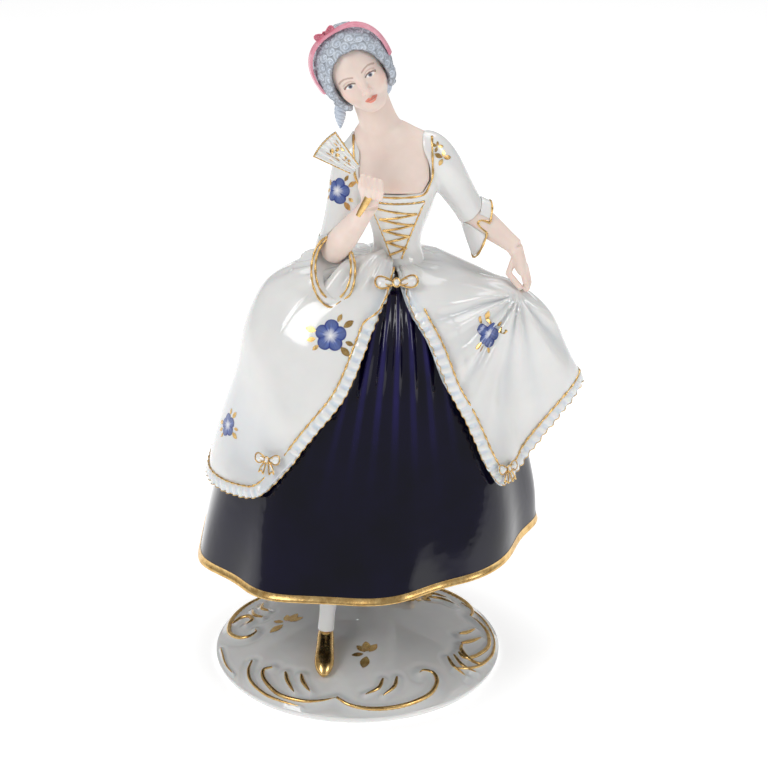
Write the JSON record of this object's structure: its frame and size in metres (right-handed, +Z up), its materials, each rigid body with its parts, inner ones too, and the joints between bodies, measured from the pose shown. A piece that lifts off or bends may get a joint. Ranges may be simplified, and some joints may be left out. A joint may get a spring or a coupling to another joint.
{
  "type": "porcelain figurine",
  "caption": "Standing lady in a wide court gown with a fan, on a round scrolled plinth: a free-standing glazed ornament.",
  "frame": {"origin": "middle of the plinth's flat foot, on the shelf", "axes": "+Z up; the figure faces -Y, and her left hand, which holds out the overskirt, is towards +X"},
  "size_m": [0.1846, 0.1604, 0.321],
  "materials": {
    "white_glaze": "clear glossy glaze on white porcelain",
    "cobalt_glaze": "deep cobalt underglaze, high gloss",
    "gold_lustre": "burnished gold lustre, fired on",
    "bisque_skin": "unglazed bisque with a satin flesh tint",
    "grey_hair_glaze": "satin blue-grey wash",
    "pink_glaze": "pink enamel"
  },
  "bodies": {
    "root": {"base": "white_glaze", "base_scrolls": "gold_lustre", "support_column": "white_glaze", "right_leg": "white_glaze", "right_shoe": "gold_lustre", "left_leg": "white_glaze", "left_shoe": "gold_lustre", "skirt": "cobalt_glaze", "overskirt_right": "white_glaze", "overskirt_left": "white_glaze", "hem_bow_right": "gold_lustre", "hem_bow_left": "gold_lustre", "waist_bow": "white_glaze", "bodice": "white_glaze", "bust": "bisque_skin", "stomacher": "white_glaze", "lacing": "gold_lustre", "head": "bisque_skin", "hair": "grey_hair_glaze", "hair_ribbon": "pink_glaze", "hair_bow": "pink_glaze", "ringlet_right": "grey_hair_glaze", "ringlet_left": "grey_hair_glaze", "right_forearm": "bisque_skin", "right_sleeve": "white_glaze", "right_cuff": "white_glaze", "right_hand": "bisque_skin", "left_forearm": "bisque_skin", "left_sleeve": "white_glaze", "left_cuff": "white_glaze", "left_hand": "bisque_skin", "fan": "white_glaze", "fan_guard": "gold_lustre"}
  },
  "joints": []
}
